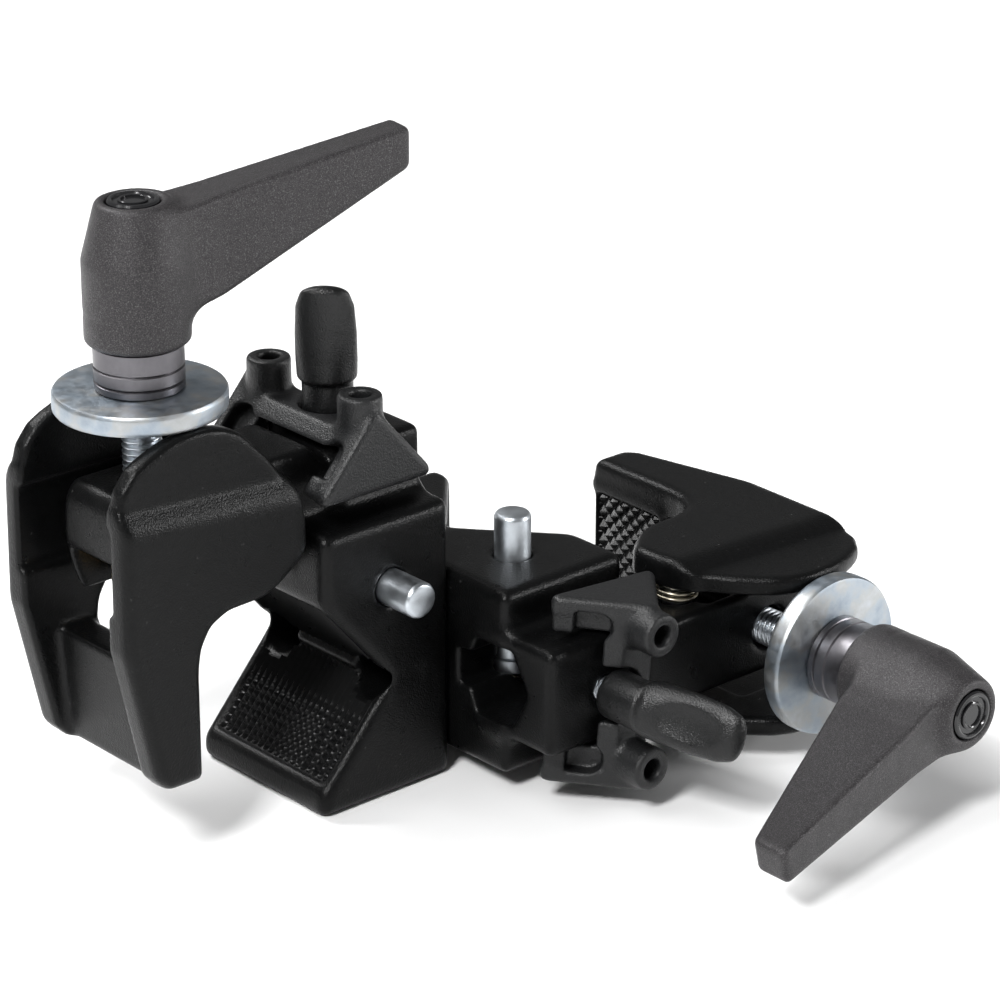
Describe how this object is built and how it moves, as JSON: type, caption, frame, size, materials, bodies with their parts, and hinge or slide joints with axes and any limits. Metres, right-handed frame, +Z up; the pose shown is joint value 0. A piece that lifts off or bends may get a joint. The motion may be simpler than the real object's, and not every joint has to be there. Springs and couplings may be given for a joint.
{
  "type": "double super clamp",
  "caption": "Two cast grip clamps with V bodies, hinged jaws and ratchet levers, joined back to back on a swivel at a right angle.",
  "frame": {"origin": "centre of the bounding box at its lowest level, under the swivel between the two backs", "axes": "+X from the left clamp through the swivel axis to the right clamp, +Z up along the left clamp's screw, -Y along the right clamp's screw towards its lever"},
  "size_m": [0.159, 0.136, 0.1359],
  "materials": {
    "body_casting": "cast, black powder coat, satin",
    "jaw_casting": "cast, black powder coat, satin",
    "pivot_pin": "ground steel",
    "opening_spring": "spring wire",
    "clamp_screw": "bright zinc plated thread",
    "brass_nut": "turned brass",
    "pressure_washer": "zinc plated",
    "lever_insert": "blackened steel",
    "lever_retaining_screw": "bright zinc plated",
    "lever_spring": "spring wire",
    "ratchet_lever": "dark grey textured coat on zinc casting",
    "lever_cap": "glossy black",
    "spring_pin": "bright zinc plated",
    "pin_spring": "spring wire",
    "pin_plug": "zinc plated",
    "wing_screw": "bright zinc plated thread",
    "wing_knob": "matte black plastic, fine texture",
    "wedge_insert": "dark grey nylon, fine texture",
    "swivel_steel": "zinc plated"
  },
  "bodies": {
    "left_body": {"left_body_casting": "body_casting", "left_pivot_pin": "pivot_pin", "left_opening_spring": "opening_spring", "left_brass_nut": "brass_nut", "left_pin_plug": "pin_plug", "left_pin_spring": "pin_spring", "swivel_stud": "swivel_steel", "swivel_friction_disc": "swivel_steel", "left_wedge_insert": "wedge_insert"},
    "left_jaw": {"left_jaw_casting": "jaw_casting"},
    "left_washer": {"left_pressure_washer": "pressure_washer"},
    "left_spindle": {"left_clamp_screw": "clamp_screw", "left_lever_insert": "lever_insert", "left_lever_retaining_screw": "lever_retaining_screw", "left_lever_spring": "lever_spring"},
    "left_lever": {"left_ratchet_lever": "ratchet_lever", "left_lever_cap": "lever_cap"},
    "left_pin": {"left_spring_pin": "spring_pin"},
    "left_wing_screw": {"left_wing_screw": "wing_screw"},
    "left_wing_knob": {"left_wing_knob": "wing_knob"},
    "right_body": {"right_body_casting": "body_casting", "right_pivot_pin": "pivot_pin", "right_opening_spring": "opening_spring", "right_brass_nut": "brass_nut", "right_pin_plug": "pin_plug", "right_pin_spring": "pin_spring", "right_wedge_insert": "wedge_insert"},
    "right_jaw": {"right_jaw_casting": "jaw_casting"},
    "right_washer": {"right_pressure_washer": "pressure_washer"},
    "right_spindle": {"right_clamp_screw": "clamp_screw", "right_lever_insert": "lever_insert", "right_lever_retaining_screw": "lever_retaining_screw", "right_lever_spring": "lever_spring"},
    "right_lever": {"right_ratchet_lever": "ratchet_lever", "right_lever_cap": "lever_cap"},
    "right_pin": {"right_spring_pin": "spring_pin"},
    "right_wing_screw": {"right_wing_screw": "wing_screw"},
    "right_wing_knob": {"right_wing_knob": "wing_knob"}
  },
  "joints": [
    {"name": "swivel", "type": "hinge", "parent": "left_body", "child": "right_body", "pos_m": [0, 0.04356, 0.0244], "axis": [1, 0, 0], "continuous": true},
    {"name": "left_jaw_swing", "type": "hinge", "parent": "left_body", "child": "left_jaw", "pos_m": [-0.04145, 0.04356, 0.0658], "axis": [0, -1, 0], "range_deg": [-31, 41], "deforming": ["left_opening_spring"]},
    {"name": "left_screw_travel", "type": "slide", "parent": "left_body", "child": "left_washer", "axis": [0, 0, -1], "range_m": [-0.01, 0.0131]},
    {"name": "left_screw_turn", "type": "hinge", "parent": "left_washer", "child": "left_spindle", "pos_m": [-0.06015, 0.04356, 0.1012], "axis": [0, 0, -1], "range_deg": [-2890, 3780]},
    {"name": "left_lever_lift", "type": "slide", "parent": "left_spindle", "child": "left_lever", "axis": [0, 0, 1], "range_m": [0, 0.0035], "stiffness_N_per_m": 800, "springref_m": -0.003, "deforming": ["left_lever_spring"]},
    {"name": "left_pin_push", "type": "slide", "parent": "left_body", "child": "left_pin", "axis": [0, 1, 0], "range_m": [0, 0.007], "stiffness_N_per_m": 700, "springref_m": -0.004, "deforming": ["left_pin_spring"]},
    {"name": "left_wing_travel", "type": "slide", "parent": "left_body", "child": "left_wing_screw", "axis": [0, 0, -1], "range_m": [-0.001, 0.00016]},
    {"name": "left_wing_turn", "type": "hinge", "parent": "left_wing_screw", "child": "left_wing_knob", "pos_m": [-0.01475, 0.04356, 0.0762], "axis": [0, 0, -1], "range_deg": [-361, 61]},
    {"name": "right_jaw_swing", "type": "hinge", "parent": "right_body", "child": "right_jaw", "pos_m": [0.04145, 0.00216, 0.0244], "axis": [0, 0, 1], "range_deg": [-31, 41], "deforming": ["right_opening_spring"]},
    {"name": "right_screw_travel", "type": "slide", "parent": "right_body", "child": "right_washer", "axis": [0, 1, 0], "range_m": [-0.01, 0.0131]},
    {"name": "right_screw_turn", "type": "hinge", "parent": "right_washer", "child": "right_spindle", "pos_m": [0.06015, -0.03324, 0.0244], "axis": [0, 1, 0], "range_deg": [-2890, 3780]},
    {"name": "right_lever_lift", "type": "slide", "parent": "right_spindle", "child": "right_lever", "axis": [0, -1, 0], "range_m": [0, 0.0035], "stiffness_N_per_m": 800, "springref_m": -0.003, "deforming": ["right_lever_spring"]},
    {"name": "right_pin_push", "type": "slide", "parent": "right_body", "child": "right_pin", "axis": [0, 0, -1], "range_m": [0, 0.007], "stiffness_N_per_m": 700, "springref_m": -0.004, "deforming": ["right_pin_spring"]},
    {"name": "right_wing_travel", "type": "slide", "parent": "right_body", "child": "right_wing_screw", "axis": [0, 1, 0], "range_m": [-0.0005, 0.001]},
    {"name": "right_wing_turn", "type": "hinge", "parent": "right_wing_screw", "child": "right_wing_knob", "pos_m": [0.01475, -0.00824, 0.0244], "axis": [0, 1, 0], "range_deg": [-181, 361]}
  ],
  "couplings": [
    {"joint": "left_jaw_swing", "follows": "left_screw_travel", "rad_per_m": 53.476},
    {"joint": "left_screw_turn", "follows": "left_screw_travel", "rad_per_m": 5026.5},
    {"joint": "left_wing_turn", "follows": "left_wing_travel", "rad_per_m": 6283.2},
    {"joint": "right_jaw_swing", "follows": "right_screw_travel", "rad_per_m": 53.476},
    {"joint": "right_screw_turn", "follows": "right_screw_travel", "rad_per_m": 5026.5},
    {"joint": "right_wing_turn", "follows": "right_wing_travel", "rad_per_m": 6283.2}
  ]
}
